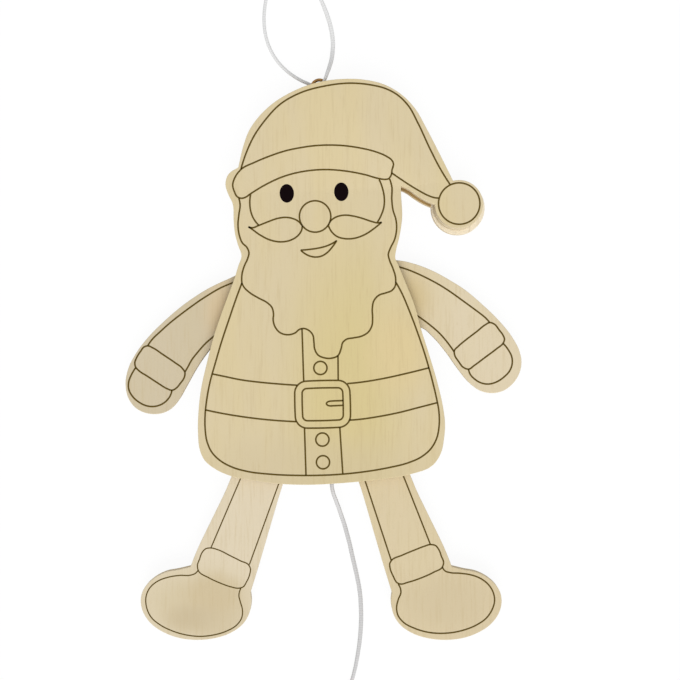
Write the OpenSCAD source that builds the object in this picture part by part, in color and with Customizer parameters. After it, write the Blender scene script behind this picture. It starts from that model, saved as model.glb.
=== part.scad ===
// A flat plywood figure whose arms and legs swing up when the cord below its hem is pulled.
// It lies on its back: +X to the viewer's right, +Y towards the cap, +Z towards the viewer.
// The origin is on the back plate's outer face, in the middle of the coat above the belt.

/* [Plates] */
// Width of the coat at its widest
plate_w = 111; // [95:1:130]
// Height from the hem to the top of the cap
plate_h = 182; // [165:1:205]
// Distance from the origin down to the hem
hem_drop = 64.7; // [60:0.1:70]
// Thickness of the front plate and the back plate
plate_t = 3; // [2.6:0.1:5]
// Diameter of the front plate's pompom and of the block behind it
pompom_d = 21.6; // [18:0.2:26]
// Diameter of the back plate's pompom, which shows below the front one
back_pompom_d = 24.6; // [20:0.2:28]
// How far the back plate's pompom lies to the right of the front one
back_pompom_right = 0.8; // [0:0.1:1.5]
// How far it lies below the front one
back_pompom_drop = 0.3; // [0:0.1:1.5]

/* [Cap spacer] */
// Width of the block glued between the plates in the cap
spacer_w = 66; // [50:1:72]
// Height of that block
spacer_h = 42; // [30:1:48]

/* [Arms] */
// Left arm, from its pivot out to the far side of the mitten
left_arm_w = 57.8; // [50:0.2:66]
// Left arm, from its pivot down to the end of the mitten
left_arm_h = 51.4; // [45:0.2:58]
// Right arm, from its pivot out to the far side of the mitten
right_arm_w = 59.9; // [50:0.2:66]
// Right arm, from its pivot down to the end of the mitten
right_arm_h = 41.9; // [36:0.2:48]
// Diameter of the round end at the shoulder
shoulder_d = 27.6; // [22:0.2:30]

/* [Legs] */
// From the hip pivot out to the toe
leg_w = 58.4; // [50:0.2:66]
// From the hip pivot down to the sole
leg_h = 87.9; // [75:0.2:100]
// Diameter of the round end at the hip
hip_d = 23; // [20:0.2:26]
// Thickness of the arms and the legs
limb_t = 3; // [2:0.1:5]

/* [Pivots] */
// Diameter of the pivot dowels
dowel_d = 6; // [4:0.1:8]
// How deep a dowel sits in the front plate's blind hole
dowel_seat = 2; // [1:0.1:2.4]
// Distance between the two shoulder pivots
shoulder_span = 62; // [56:0.2:68]
// Height of the shoulder pivots above the origin
shoulder_rise = 18; // [12:0.2:22]
// Distance between the two hip pivots
hip_span = 47; // [44:0.2:54]
// Depth of the hip pivots below the origin
hip_drop = 48; // [44:0.2:50]
// How far the middle of each pair lies to the right of the origin
pivot_shift = -0.7; // [-2:0.1:2]
// Outer diameter of the washers on the dowels
washer_d = 10; // [9:0.1:13]
// Radial gap of a limb on its dowel
turn_gap = 0.08; // [0.02:0.01:0.1]
// Radial gap of glued pieces
glue_gap = 0.05; // [0.02:0.01:0.1]
// Gap between a limb and each washer
side_gap = 0.1; // [0.05:0.01:0.3]

/* [Strings] */
// How far each limb turns on a full pull, in degrees
swing = 45; // [30:1:48]
// Distance from a pivot to its string at rest
crank = 12; // [11:0.1:13]
// Diameter of the ear that carries the string hole
ear_d = 9; // [7:0.1:10]
// Diameter of the cross strings
string_d = 1; // [0.6:0.1:1.6]
// Gap around a cross string, to the limbs and the front plate
string_gap = 0.3; // [0.2:0.05:0.6]
// How far the middle of the arm string hangs below its ends
arm_string_dip = 7; // [5:0.1:10]
// How far the middle of the leg string hangs below its ends
leg_string_dip = 5; // [4:0.1:6]
// Diameter of the pull cord and the hanging cord
cord_d = 1.8; // [1.4:0.1:2.2]
// Length of pull cord above the upper tie
cord_head = 6; // [3:0.1:10]
// How far right of the origin the pull cord leaves the hem
cord_exit = 4; // [2:0.1:5]
// Diameter of the knots that tie the cross strings to the pull cord
tie_knot_d = 4.4; // [3.6:0.1:5]
// Thickness of the flat knots behind the limbs
end_knot_t = 0.8; // [0.6:0.05:1.2]
// How far those knots reach past the edge of their hole
end_knot_lip = 0.5; // [0.3:0.05:0.8]
// Diameter of the knot at the end of the pull cord
pull_knot_d = 4.6; // [4:0.1:6]
// Diameter of the knot that closes the hanging loop
loop_knot_d = 6; // [5.4:0.1:7]

/* [Hanging eye] */
// Outer diameter of the ring
eye_d = 8.6; // [8:0.1:10]
// Diameter of its wire
eye_wire = 1.4; // [1:0.1:1.6]
// How far the ring stands out past the top of the cap
eye_stand = 3; // [1:0.1:4]
// How far the eye sits to the left of the origin
eye_left = 1.5; // [0:0.1:4]
// Length of the screw below the ring
eye_shank = 14; // [8:0.5:20]

/* [Hidden] */
$fn = 48;
// How far a cut runs past the face that it opens
overrun = 0.5;
// Points on each stretch of a smoothed outline
outline_steps = 4;
// Sides of a cord
cord_sides = 8;

// The plates' outline, as shares of plate_w from the middle and of plate_h from the hem;
// a third value of 1 marks a sharp corner, and the corners at the pompom lie under its disc
plate_shares = [
    [-0.060, 0], [-0.185, 0.003], [-0.270, 0.010], [-0.367, 0.021], [-0.444, 0.043], [-0.477, 0.061],
    [-0.492, 0.079], [-0.503, 0.132], [-0.501, 0.179], [-0.490, 0.238], [-0.465, 0.305], [-0.442, 0.360],
    [-0.407, 0.424], [-0.379, 0.470], [-0.352, 0.515], [-0.339, 0.541], [-0.327, 0.563], [-0.341, 0.590],
    [-0.353, 0.617],
    [-0.359, 0.652], [-0.363, 0.693], [-0.381, 0.716], [-0.392, 0.740], [-0.380, 0.765], [-0.340, 0.782, 1],
    [-0.320, 0.834], [-0.298, 0.871], [-0.260, 0.905], [-0.206, 0.937], [-0.121, 0.969], [-0.035, 0.989],
    [0.093, 1], [0.168, 0.998], [0.250, 0.986], [0.318, 0.962], [0.374, 0.927], [0.420, 0.878],
    [0.475, 0.813], [0.5275, 0.7487, 1], [0.545, 0.720, 1], [0.470, 0.688, 1], [0.4475, 0.692],
    [0.419, 0.699], [0.383, 0.712], [0.340, 0.730], [0.317, 0.736, 1], [0.317, 0.718], [0.320, 0.691],
    [0.322, 0.665], [0.318, 0.637], [0.309, 0.607], [0.297, 0.577], [0.294, 0.558], [0.305, 0.543],
    [0.337, 0.496], [0.377, 0.432], [0.393, 0.394], [0.428, 0.326], [0.467, 0.245], [0.487, 0.191],
    [0.495, 0.149], [0.491, 0.114], [0.477, 0.076], [0.447, 0.049], [0.355, 0.026], [0.252, 0.015],
    [0.151, 0.008], [0.051, 0.003]
];
// Middle of the pompom, as shares of plate_w and plate_h
pompom_shares = [0.551, 0.6915];
// Top of the cap above the eye, as a share of plate_h
cap_top_share = 0.9945;
// The cap spacer's outline, as shares of spacer_w from the eye and of spacer_h from its top
spacer_shares = [
    [-0.46, -1, 1], [-0.48, -0.74], [-0.38, -0.42], [-0.21, -0.14], [0, 0], [0.2, 0], [0.4, -0.12],
    [0.53, -0.38], [0.56, -0.7], [0.44, -1, 1]
];
// The left arm's outline, as shares of left_arm_w and left_arm_h from its pivot
left_arm_shares = [
    [-0.095, 0.247, 1], [-0.147, 0.218], [-0.351, 0.109], [-0.543, -0.033], [-0.690, -0.173],
    [-0.817, -0.315], [-0.913, -0.455], [-0.978, -0.597], [-1, -0.739], [-0.969, -0.879], [-0.910, -0.955],
    [-0.836, -0.992], [-0.756, -1], [-0.689, -0.984], [-0.633, -0.942], [-0.588, -0.881], [-0.516, -0.741],
    [-0.445, -0.599], [-0.358, -0.457], [-0.234, -0.302], [-0.104, -0.241, 1]
];
// The right arm's outline, as shares of right_arm_w and right_arm_h from its pivot
right_arm_shares = [
    [-0.200, 0.162, 1], [-0.159, 0.334], [-0.058, 0.430], [0.060, 0.439], [0.204, 0.394], [0.352, 0.308],
    [0.462, 0.220], [0.558, 0.134], [0.705, -0.041], [0.828, -0.212], [0.927, -0.387], [0.988, -0.558],
    [1, -0.647], [0.995, -0.733], [0.973, -0.819], [0.928, -0.907], [0.863, -0.974], [0.780, -1],
    [0.696, -0.979], [0.623, -0.909], [0.518, -0.735], [0.432, -0.561], [0.329, -0.387], [0.255, -0.298],
    [0.150, -0.274], [0.050, -0.320, 1]
];
// The left leg's outline, as shares of leg_w and leg_h from its pivot
leg_shares = [
    [-0.185, 0.044, 1], [-0.332, -0.217], [-0.452, -0.383], [-0.570, -0.548], [-0.613, -0.621, 1],
    [-0.707, -0.636], [-0.801, -0.648], [-0.892, -0.678], [-0.959, -0.719], [-0.991, -0.759],
    [-1, -0.799], [-0.990, -0.841], [-0.962, -0.881], [-0.908, -0.923], [-0.818, -0.962], [-0.707, -0.989],
    [-0.562, -1], [-0.425, -0.991], [-0.296, -0.962], [-0.209, -0.920], [-0.166, -0.878], [-0.146, -0.836],
    [-0.140, -0.796], [-0.147, -0.755, 1], [-0.089, -0.630], [0.002, -0.424], [0.094, -0.217],
    [0.185, -0.044, 1]
];

// Route of the hanging cord: one end, the knot, the left strand, the eye, the right strand, the other end
hanging_route = [
    [-18.2, 185.5, 0.9], [-16.6, 181.8, 1.3], [-15.3, 178, 2.6], [-16.5, 174, 1.6], [-19, 170.2, 0.9],
    [-22, 166.5, 0.9], [-24.6, 162.3, 0.9], [-26.2, 157.6, 0.9], [-27, 152.5, 0.9], [-27.2, 147.5, 0.9],
    [-26.8, 142.5, 0.9], [-25.6, 137.5, 0.9], [-23.6, 132.8, 0.9], [-20.8, 128.5, 0.9], [-17.4, 124.9, 1],
    [-13.6, 121.8, 1.6], [-9.9, 119.3, 2.8], [-6.4, 117.4, 3.9], [-3.9, 116, 4.6], [-2.1, 115.2, 5.6],
    [-0.9, 115.3, 6.8], [0.2, 116.6, 7.8], [1.2, 118.8, 8], [2.1, 121.6, 7], [3, 125, 4.8],
    [3.9, 128.8, 2.6], [4.4, 132.9, 1.2], [4.6, 137.5, 0.9], [4, 142.3, 0.9], [2.9, 147, 0.9],
    [1.3, 151.7, 0.9], [-0.7, 156.6, 0.9], [-3, 161.2, 0.9], [-5.6, 165.6, 0.9], [-8.5, 169.8, 0.9],
    [-11.2, 173.9, 1.6], [-12.7, 178, 2.6], [-11.4, 181.8, 1.3], [-9.6, 185.4, 0.9]
];
// Middle of the hanging cord's knot
hanging_knot_at = [-14, 178, 3];
// Route of the pull cord from the hem to its end, with its knot on the point before the last
pull_route = [
    [4, -64.7, 6], [4.6, -69, 5.4], [5.9, -73, 4.2], [7.3, -77, 2.7], [8.5, -80.8, 1.5], [9.8, -84.7, 0.9],
    [11, -89, 0.9], [12.2, -93.5, 0.9], [13.3, -98.5, 0.9], [14.4, -103.2, 0.9], [15.5, -108, 0.9],
    [16.5, -113, 0.9], [17.2, -118, 0.9], [17.5, -123, 0.9], [17.6, -128, 0.9], [17.4, -133, 0.9],
    [17, -138, 0.9], [16.3, -143.2, 0.9], [15.4, -148.4, 0.9], [14.3, -153.4, 0.9], [12.8, -158.2, 0.9],
    [10.6, -162.6, 0.9], [7.6, -166.4, 0.9], [3.8, -169.4, 0.9], [-0.6, -171.6, 0.9], [-5.2, -173.2, 1.2],
    [-9.8, -174.4, 2.3], [-14.4, -175.2, 1.2]
];
// Middle of the pull cord's knot
pull_knot_at = [-9.8, -174.4, 2.3];

// Heights of the layers, from the back plate's outer face
back_washer_t = end_knot_t + 2 * string_gap - side_gap;
limb_z = plate_t + back_washer_t + side_gap;
limb_top = limb_z + limb_t;
front_washer_z = limb_top + side_gap;
front_z = limb_top + string_d + 2 * string_gap;
front_washer_t = front_z - front_washer_z;
middle_z = (plate_t + front_z) / 2;
string_z = (limb_top + front_z) / 2;
end_knot_z = plate_t + string_gap;

// Pivots and strings
left_shoulder = [pivot_shift - shoulder_span / 2, shoulder_rise];
right_shoulder = [pivot_shift + shoulder_span / 2, shoulder_rise];
left_hip = [pivot_shift - hip_span / 2, -hip_drop];
right_hip = [pivot_shift + hip_span / 2, -hip_drop];
rest_turn = swing / 2;
pull_travel = 2 * crank * sin(rest_turn);
// The string stays upright on its line while its hole swings, so the hole sits between the two radii
hole_r = crank * (1 + cos(rest_turn)) / 2;
hole_play = crank * (1 - cos(rest_turn)) / 2;
hole_d = string_d + 2 * (hole_play + string_gap);
end_knot_d = hole_d + 2 * end_knot_lip;
// Where a limb's string stands at rest; side is -1 on the left and 1 on the right
function string_end(pivot, side) = pivot + crank * [-side * cos(rest_turn), sin(rest_turn)];
cord_foot = [cord_exit, -hem_drop];
arm_tie = [0, string_end(left_shoulder, -1).y - arm_string_dip];
cord_slope = (cord_foot.x - arm_tie.x) / (cord_foot.y - arm_tie.y);
leg_tie_y = string_end(left_hip, -1).y - leg_string_dip;
leg_tie = [arm_tie.x + (leg_tie_y - arm_tie.y) * cord_slope, leg_tie_y];

// Hanging eye
eye_bend = (eye_d - eye_wire) / 2;
eye_y = plate_h * cap_top_share - hem_drop + eye_stand - eye_d / 2;
eye_at = [-eye_left, eye_y, middle_z];
spacer_top = eye_y - eye_d / 2 - glue_gap;

function unit(v) = v / norm(v);

// Tangent at point i of a closed outline, along the circle through it and its neighbours
function outline_turn(points, i) =
    let (n = len(points), a = points[i] - points[(i + n - 1) % n], b = points[(i + 1) % n] - points[i])
    unit(unit(a) * norm(b) + unit(b) * norm(a));

// Point at share t of the stretch from p to q, leaving along m and arriving along k
function stretch_point(p, q, m, k, t) =
    (2 * t * t * t - 3 * t * t + 1) * p + (t * t * t - 2 * t * t + t) * m
    + (3 * t * t - 2 * t * t * t) * q + (t * t * t - t * t) * k;

// A closed outline through a table of shares of w and h, smooth except at its marked corners
function smooth_outline(shares, w, h) =
    let (
        n = len(shares),
        points = [for (s = shares) [s[0] * w, s[1] * h]],
        sharp = [for (s = shares) len(s) > 2]
    )
    [
        for (i = [0 : n - 1])
            let (
                j = (i + 1) % n,
                run = points[j] - points[i],
                leave = sharp[i] ? run : outline_turn(points, i) * norm(run),
                arrive = sharp[j] ? run : outline_turn(points, j) * norm(run)
            )
            for (k = [0 : outline_steps - 1])
                stretch_point(points[i], points[j], leave, arrive, k / outline_steps)
    ];

// Direction of a route at its point i, halfway between the runs before and after it
function route_turn(route, i) =
    let (
        last = len(route) - 1,
        before = unit(route[max(i, 1)] - route[max(i - 1, 0)]),
        after = unit(route[min(i + 1, last)] - route[min(i, last - 1)])
    )
    unit(before + after);

// Ring of points round a route at its point i; an upright run takes its sides from Y
function cord_ring(route, i, r) =
    let (
        along = route_turn(route, i),
        level = cross(along, [0, 0, 1]),
        across = norm(level) > 0 ? unit(level) : [0, -1, 0],
        up = cross(across, along)
    )
    [
        for (k = [0 : cord_sides - 1])
            let (a = 360 * (k + 0.5) / cord_sides)
            route[i] + r * (cos(a) * across + sin(a) * up)
    ];

// A cord of diameter d along a route
module cord(route, d) {
    last = len(route) - 1;
    points = [for (i = [0 : last]) each cord_ring(route, i, d / 2)];
    walls = [
        for (i = [0 : last - 1])
            for (k = [0 : cord_sides - 1])
                let (a = i * cord_sides + k, b = i * cord_sides + (k + 1) % cord_sides)
                each [[a, b, b + cord_sides], [a, b + cord_sides, a + cord_sides]]
    ];
    start_cap = [for (k = [1 : cord_sides - 2]) [0, k + 1, k]];
    top = last * cord_sides;
    end_cap = [for (k = [1 : cord_sides - 2]) [top, top + k, top + k + 1]];
    polyhedron(points, concat(walls, start_cap, end_cap));
}

// A straight run of string or cord of diameter d from a to b
module run(a, b, d) {
    along = b - a;
    tilt = acos(along.z / norm(along));
    heading = atan2(along.y, along.x);
    translate(a)
        rotate([0, tilt, heading])
            cylinder(h = norm(along), d = d);
}

// One plate of the figure, t thick, whose pompom has the diameter disc_d and lies off its place by disc_off
module figure_plate(t, disc_d, disc_off) {
    translate([0, -hem_drop, 0]) {
        linear_extrude(t)
            polygon(smooth_outline(plate_shares, plate_w, plate_h));
        translate([pompom_shares[0] * plate_w + disc_off.x, pompom_shares[1] * plate_h + disc_off.y, 0])
            cylinder(h = t, d = disc_d);
    }
}

module front_plate() {
    color("burlywood")
        difference() {
            translate([0, 0, front_z])
                figure_plate(plate_t, pompom_d, [0, 0]);
            for (at = [left_shoulder, right_shoulder, left_hip, right_hip])
                translate([at.x, at.y, front_z - overrun])
                    cylinder(h = dowel_seat + overrun, d = dowel_d + 2 * glue_gap);
        }
}

module back_plate() {
    color("tan")
        difference() {
            figure_plate(plate_t, back_pompom_d, [back_pompom_right, -back_pompom_drop]);
            for (at = [left_shoulder, right_shoulder, left_hip, right_hip])
                translate([at.x, at.y, -overrun])
                    cylinder(h = plate_t + 2 * overrun, d = dowel_d + 2 * glue_gap);
        }
}

// Block in the cap that joins the plates and takes the screw of the eye
module cap_spacer() {
    color("wheat")
        difference() {
            translate([eye_at.x, spacer_top, plate_t])
                linear_extrude(front_z - plate_t)
                    polygon(smooth_outline(spacer_shares, spacer_w, spacer_h));
            translate([eye_at.x, spacer_top + overrun, middle_z])
                rotate([90, 0, 0])
                    cylinder(h = eye_shank + overrun, d = eye_wire + 2 * glue_gap);
        }
}

module pompom_spacer() {
    color("wheat")
        translate([pompom_shares[0] * plate_w, pompom_shares[1] * plate_h - hem_drop, plate_t])
            cylinder(h = front_z - plate_t, d = pompom_d);
}

// Dowel glued through the back plate and into the front plate
module dowel(at) {
    color("peru")
        translate([at.x, at.y, 0])
            cylinder(h = front_z + dowel_seat, d = dowel_d);
}

// Washer on a dowel, from height z and t thick
module washer(at, z, t) {
    color("sienna")
        translate([at.x, at.y, z])
            difference() {
                cylinder(h = t, d = washer_d);
                translate([0, 0, -overrun])
                    cylinder(h = t + 2 * overrun, d = dowel_d + 2 * glue_gap);
            }
}

module back_washer(at) {
    washer(at, plate_t, back_washer_t);
}

module front_washer(at) {
    washer(at, front_washer_z, front_washer_t);
}

// Brass screw eye, with its ring lying between the plates
module screw_eye() {
    color("goldenrod")
        translate(eye_at) {
            rotate_extrude()
                translate([eye_bend, 0])
                    circle(d = eye_wire);
            translate([0, -eye_bend, 0])
                rotate([90, 0, 0])
                    cylinder(h = eye_shank, d = eye_wire);
        }
}

module hanging_cord() {
    color("white")
        cord(hanging_route, cord_d);
}

module hanging_knot() {
    color("white")
        translate(hanging_knot_at)
            sphere(d = loop_knot_d);
}

// A limb on its pivot: its outline, a round end, an ear towards the middle, a bore and a string hole
module limb(pivot, side, outline, end_d) {
    ear = hole_r * [-side * cos(rest_turn), sin(rest_turn)];
    translate([pivot.x, pivot.y, limb_z])
        difference() {
            union() {
                linear_extrude(limb_t)
                    polygon(outline);
                cylinder(h = limb_t, d = end_d);
                translate(ear)
                    cylinder(h = limb_t, d = ear_d);
            }
            translate([0, 0, -overrun])
                cylinder(h = limb_t + 2 * overrun, d = dowel_d + 2 * turn_gap);
            translate([ear.x, ear.y, -overrun])
                cylinder(h = limb_t + 2 * overrun, d = hole_d);
        }
}

module left_arm() {
    color("burlywood")
        limb(left_shoulder, -1, smooth_outline(left_arm_shares, left_arm_w, left_arm_h), shoulder_d);
}

module right_arm() {
    color("burlywood")
        limb(right_shoulder, 1, smooth_outline(right_arm_shares, right_arm_w, right_arm_h), shoulder_d);
}

module left_leg() {
    color("burlywood")
        limb(left_hip, -1, smooth_outline(leg_shares, leg_w, leg_h), hip_d);
}

module right_leg() {
    color("burlywood")
        limb(right_hip, 1, smooth_outline(leg_shares, -leg_w, leg_h), hip_d);
}

// The part of the pull cord that runs between the plates
module pull_cord() {
    head = arm_tie + cord_head * unit(arm_tie - cord_foot);
    color("white")
        run([head.x, head.y, middle_z], [cord_foot.x, cord_foot.y, middle_z], cord_d);
}

// The part of the pull cord below the hem
module pull_tail() {
    color("white")
        cord(pull_route, cord_d);
}

module pull_knot() {
    color("white")
        translate(pull_knot_at)
            sphere(d = pull_knot_d);
}

// Route of a cross string: up through one limb's hole, over to the tie on the pull cord, and down the other
function cross_route(pivots, tie) =
    let (
        ends = [string_end(pivots[0], -1), string_end(pivots[1], 1)],
        bends = [for (end = ends) end + string_d * unit(tie - end)]
    )
    [
        [ends[0].x, ends[0].y, end_knot_z],
        [ends[0].x, ends[0].y, string_z - string_d],
        [bends[0].x, bends[0].y, string_z],
        [tie.x, tie.y, string_z],
        [bends[1].x, bends[1].y, string_z],
        [ends[1].x, ends[1].y, string_z - string_d],
        [ends[1].x, ends[1].y, end_knot_z]
    ];

module arm_string() {
    color("white")
        cord(cross_route([left_shoulder, right_shoulder], arm_tie), string_d);
}

module leg_string() {
    color("white")
        cord(cross_route([left_hip, right_hip], leg_tie), string_d);
}

// Knot that ties a cross string to the pull cord
module tie_knot(tie) {
    color("ivory")
        translate([tie.x, tie.y, front_z - string_gap - tie_knot_d / 2])
            sphere(d = tie_knot_d);
}

// Flat knot behind a limb, on the end of its string
module string_knot(pivot, side) {
    end = string_end(pivot, side);
    color("ivory")
        translate([end.x, end.y, end_knot_z])
            cylinder(h = end_knot_t, d = end_knot_d);
}

front_plate();
back_plate();
cap_spacer();
pompom_spacer();
dowel(left_shoulder);  // left_shoulder_dowel
dowel(right_shoulder);  // right_shoulder_dowel
dowel(left_hip);  // left_hip_dowel
dowel(right_hip);  // right_hip_dowel
back_washer(left_shoulder);  // left_shoulder_back_washer
back_washer(right_shoulder);  // right_shoulder_back_washer
back_washer(left_hip);  // left_hip_back_washer
back_washer(right_hip);  // right_hip_back_washer
front_washer(left_shoulder);  // left_shoulder_front_washer
front_washer(right_shoulder);  // right_shoulder_front_washer
front_washer(left_hip);  // left_hip_front_washer
front_washer(right_hip);  // right_hip_front_washer
screw_eye();
hanging_cord();
hanging_knot();
left_arm();
right_arm();
left_leg();
right_leg();
pull_cord();
pull_tail();
pull_knot();
arm_string();
leg_string();
tie_knot(arm_tie);  // arm_tie_knot
tie_knot(leg_tie);  // leg_tie_knot
string_knot(left_shoulder, -1);  // left_arm_string_knot
string_knot(right_shoulder, 1);  // right_arm_string_knot
string_knot(left_hip, -1);  // left_leg_string_knot
string_knot(right_hip, 1);  // right_leg_string_knot
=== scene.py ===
"""A jointed plywood figure with a pull cord, lying on a pale studio floor.

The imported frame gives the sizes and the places; lengths here are in millimetres until they become meshes.
"""

import logging
import math
from dataclasses import dataclass
from enum import Enum
from typing import Any, Iterable, Sequence

import bmesh
import bpy
from mathutils import Matrix, Vector


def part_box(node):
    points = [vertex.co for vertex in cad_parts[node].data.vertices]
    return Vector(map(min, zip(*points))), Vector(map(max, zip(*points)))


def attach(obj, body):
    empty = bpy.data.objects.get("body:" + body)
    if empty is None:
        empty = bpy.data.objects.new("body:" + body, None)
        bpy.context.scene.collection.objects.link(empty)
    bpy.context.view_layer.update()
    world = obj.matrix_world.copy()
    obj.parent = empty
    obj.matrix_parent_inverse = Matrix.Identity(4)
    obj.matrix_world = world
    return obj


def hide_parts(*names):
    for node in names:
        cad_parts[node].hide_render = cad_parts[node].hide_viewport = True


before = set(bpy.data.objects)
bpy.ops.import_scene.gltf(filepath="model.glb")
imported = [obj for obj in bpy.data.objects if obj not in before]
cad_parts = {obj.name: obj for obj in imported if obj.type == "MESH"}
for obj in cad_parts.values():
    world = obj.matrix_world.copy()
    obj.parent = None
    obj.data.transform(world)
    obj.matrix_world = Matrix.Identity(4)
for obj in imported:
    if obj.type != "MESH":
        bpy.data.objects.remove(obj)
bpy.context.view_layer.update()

log = logging.getLogger("jumping_jack")

MM = 0.001

Pixel = tuple[float, float]
Point = tuple[float, float, float]
Limits = tuple[float, float]
Tree = bpy.types.NodeTree
Socket = bpy.types.NodeSocket
Material = bpy.types.Material
Piece = bpy.types.Object


class Body(Enum):
    """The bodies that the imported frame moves."""

    FIGURE = "figure"
    LEFT_ARM = "left_arm"
    RIGHT_ARM = "right_arm"
    LEFT_LEG = "left_leg"
    RIGHT_LEG = "right_leg"
    PULL = "pull"


class Side(Enum):
    """Which face of a board lies inside the figure."""

    NONE = 0
    UPPER = 1
    LOWER = -1


class Dress(Enum):
    """Where each finish stands among a board's materials."""

    FACE = 0
    EDGE = 1
    INNER = 2


class Flow(Enum):
    """How a line runs through its points."""

    OPEN = "open"
    CLOSED = "closed"
    STRAIGHT = "straight"


def linear(hex_colour: str) -> tuple[float, float, float, float]:
    """Turn an sRGB hex colour into linear red, green and blue.

    Args:
        hex_colour: six hex digits with a leading #.

    Returns:
        The linear colour, with full opacity as its fourth value.
    """
    parts = [int(hex_colour[i : i + 2], 16) / 255 for i in (1, 3, 5)]
    red, green, blue = [c / 12.92 if c <= 0.04045 else ((c + 0.055) / 1.055) ** 2.4 for c in parts]
    return red, green, blue, 1.0


def add(tree: Tree, kind: str, inputs: dict | None = None, **settings: Any) -> bpy.types.Node:
    """Add one node, with its settings, its input values and its links.

    Args:
        tree: the tree that gets the node.
        kind: the node's type name.
        inputs: values or sockets by input name or number; a socket is linked.
        **settings: properties of the node itself.

    Returns:
        The new node.
    """
    node = tree.nodes.new(kind)
    for name, value in settings.items():
        setattr(node, name, value)
    for key, value in (inputs or {}).items():
        if isinstance(value, Socket):
            tree.links.new(value, node.inputs[key])
        else:
            node.inputs[key].default_value = value
    return node


def new_material(name: str) -> tuple[Material, Tree]:
    """Make an empty node material.

    Args:
        name: the material's name.

    Returns:
        The material and its tree.
    """
    material = bpy.data.materials.new(name)
    material.use_nodes = True
    material.node_tree.nodes.clear()
    return material, material.node_tree


def lay_tone(
    tree: Tree, colour: Any, tone: str, marks: Socket, limits: Limits, share: float, soft: bool = False
) -> Socket:
    """Lay a tone over a colour where marks are strong.

    Args:
        tree: the material's tree.
        colour: the colour below, as a socket or as linear values.
        tone: the tone's hex colour.
        marks: how strong the marks are.
        limits: where the tone starts to show and where it has its whole share.
        share: how much of it shows there.
        soft: whether it eases in and out.

    Returns:
        The toned colour.
    """
    reach = {"Value": marks, "From Min": limits[0], "From Max": limits[1], "To Max": share}
    ease = "SMOOTHSTEP" if soft else "LINEAR"
    fac = add(tree, "ShaderNodeMapRange", reach, interpolation_type=ease).outputs["Result"]
    mix = {0: fac, 6: colour, 7: linear(tone)}
    return add(tree, "ShaderNodeMix", mix, data_type="RGBA").outputs[2]


def close_material(tree: Tree, surface: dict, height: Socket, bump: float, relief: float) -> None:
    """End a material in a surface with some relief.

    Args:
        tree: the material's tree.
        surface: the shader's inputs by name.
        height: the marks that give the relief.
        bump: how strong it is.
        relief: its depth in millimetres.
    """
    lift = {"Height": height, "Strength": bump, "Distance": relief * MM}
    normal = add(tree, "ShaderNodeBump", lift).outputs["Normal"]
    shader = add(tree, "ShaderNodeBsdfPrincipled", {**surface, "Normal": normal}).outputs[0]
    add(tree, "ShaderNodeOutputMaterial", {"Surface": shader})


def seen_directly(tree: Tree) -> Socket:
    """Tell the rays that show a thing from the light that falls on others.

    Args:
        tree: the shader's tree.

    Returns:
        1 for camera, mirror and see-through rays, 0 for the rest.
    """
    rays = add(tree, "ShaderNodeLightPath").outputs
    seen = rays["Is Camera Ray"]
    for other in ("Is Glossy Ray", "Is Transmission Ray"):
        seen = add(tree, "ShaderNodeMath", {0: seen, 1: rays[other]}, operation="MAXIMUM").outputs[0]
    return seen


def flowing(points: Sequence[Vector], flow: Flow, step: float) -> list[Vector]:
    """Run a smooth line through points, along the circle through each and its neighbours.

    Args:
        points: the points that the line passes.
        flow: whether it is open, closed or made of straight runs.
        step: the longest distance between two points of the result.

    Returns:
        The points of the line, without the first one again where it is closed.
    """
    count = len(points)
    closed = flow is Flow.CLOSED
    runs = [points[(i + 1) % count] - points[i] for i in range(count if closed else count - 1)]
    turns: list[Vector] = []
    for i in range(count):
        before = runs[i - 1] if closed or i > 0 else runs[0]
        after = runs[i] if closed or i < count - 1 else runs[-1]
        turns.append((before.normalized() * after.length + after.normalized() * before.length).normalized())
    if not closed and count > 2:
        first, last = runs[0].normalized(), runs[-1].normalized()
        turns[0] = 2 * turns[1].dot(first) * first - turns[1]
        turns[-1] = 2 * turns[-2].dot(last) * last - turns[-2]
    line: list[Vector] = []
    for i, run in enumerate(runs):
        start, end = points[i], points[(i + 1) % count]
        leave = run if flow is Flow.STRAIGHT else turns[i] * run.length
        arrive = run if flow is Flow.STRAIGHT else turns[(i + 1) % count] * run.length
        parts = max(1, math.ceil(run.length / step))
        for k in range(parts):
            t = k / parts
            line.append(
                (2 * t**3 - 3 * t**2 + 1) * start
                + (t**3 - 2 * t**2 + t) * leave
                + (3 * t**2 - 2 * t**3) * end
                + (t**3 - t**2) * arrive
            )
    if not closed:
        line.append(points[-1].copy())
    return line


def object_from(name: str, mesh: bpy.types.Mesh) -> Piece:
    """Put a mesh into the scene as an object at the origin.

    Args:
        name: the piece's name.
        mesh: its mesh, with its place in its points.

    Returns:
        The linked object.
    """
    piece = bpy.data.objects.new(name, mesh)
    bpy.context.scene.collection.objects.link(piece)
    return piece


def settle(piece: Piece, body: Body, nodes: Iterable[str] = ()) -> Piece:
    """Let a finished piece ride on its body and the nodes that it stands for.

    Args:
        piece: the finished object.
        body: the body that carries it.
        nodes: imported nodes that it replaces.

    Returns:
        The same object.
    """
    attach(piece, body.value)
    for node in nodes:
        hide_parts(node)
    log.info("%s rides on %s, %d faces", piece.name, body.value, len(piece.data.polygons))
    return piece


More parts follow.
